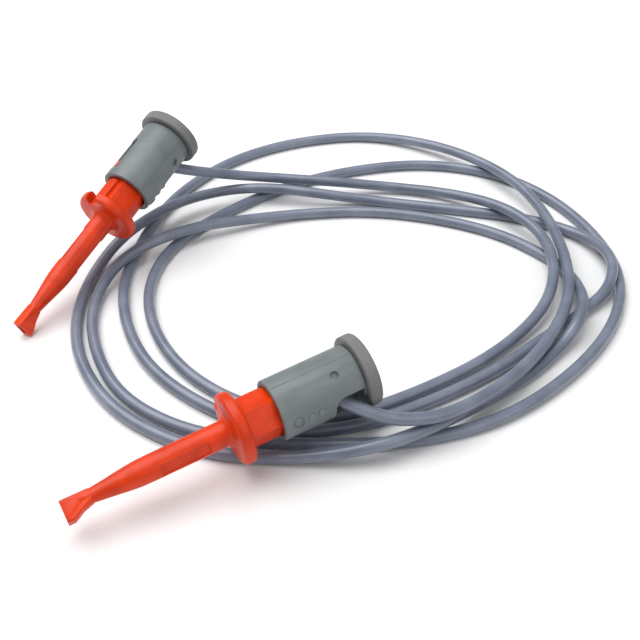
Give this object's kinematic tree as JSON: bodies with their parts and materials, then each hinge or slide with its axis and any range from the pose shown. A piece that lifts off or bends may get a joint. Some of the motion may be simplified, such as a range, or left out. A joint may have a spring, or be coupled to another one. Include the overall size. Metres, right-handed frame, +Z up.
{
  "type": "mini-grabber test lead",
  "caption": "Electronics test lead: a plunger-hook mini-grabber clip in orange and grey nylon at each end of a limp blue-grey wire lying in loose turns.",
  "frame": {"origin": "on the table, under the middle of the box round both clips; the lead isn't counted", "axes": "+Z up from the table; +Y from the near clip to the far clip; +X to the coil's open side, where the lead leaves both clips"},
  "size_m": [0.1279, 0.1345, 0.0284],
  "materials": {
    "orange_nylon": "satin",
    "grey_nylon": "satin",
    "warm_grey_nylon": "textured",
    "plated_contact": "polished",
    "collar_brass": "satin",
    "spring_steel": "satin",
    "copper_strands": "satin",
    "solder": "satin",
    "lead_pvc": "satin"
  },
  "bodies": {
    "plungers_and_lead": {"near_plunger": "grey_nylon", "near_thumb_disc": "warm_grey_nylon", "near_hook_contact": "plated_contact", "near_spring_collar": "collar_brass", "near_return_spring": "spring_steel", "near_crimp_barrel": "collar_brass", "near_bare_strands": "copper_strands", "near_solder_bead": "solder", "far_plunger": "grey_nylon", "far_thumb_disc": "warm_grey_nylon", "far_hook_contact": "plated_contact", "far_spring_collar": "collar_brass", "far_return_spring": "spring_steel", "far_crimp_barrel": "collar_brass", "far_bare_strands": "copper_strands", "far_solder_bead": "solder", "lead": "lead_pvc"},
    "near_nose": {"near_housing": "orange_nylon", "near_spring_washer": "spring_steel"},
    "far_nose": {"far_housing": "orange_nylon", "far_spring_washer": "spring_steel"}
  },
  "joints": [
    {"name": "near_press", "type": "slide", "parent": "plungers_and_lead", "child": "near_nose", "axis": [0.8712, 0.4789, 0.108], "range_m": [0, 0.005], "stiffness_N_per_m": 150, "springref_m": -0.005, "deforming": ["near_return_spring"]},
    {"name": "far_press", "type": "slide", "parent": "plungers_and_lead", "child": "far_nose", "axis": [0.4876, 0.8019, 0.3453], "range_m": [0, 0.005], "stiffness_N_per_m": 150, "springref_m": -0.005, "deforming": ["far_return_spring"]}
  ]
}
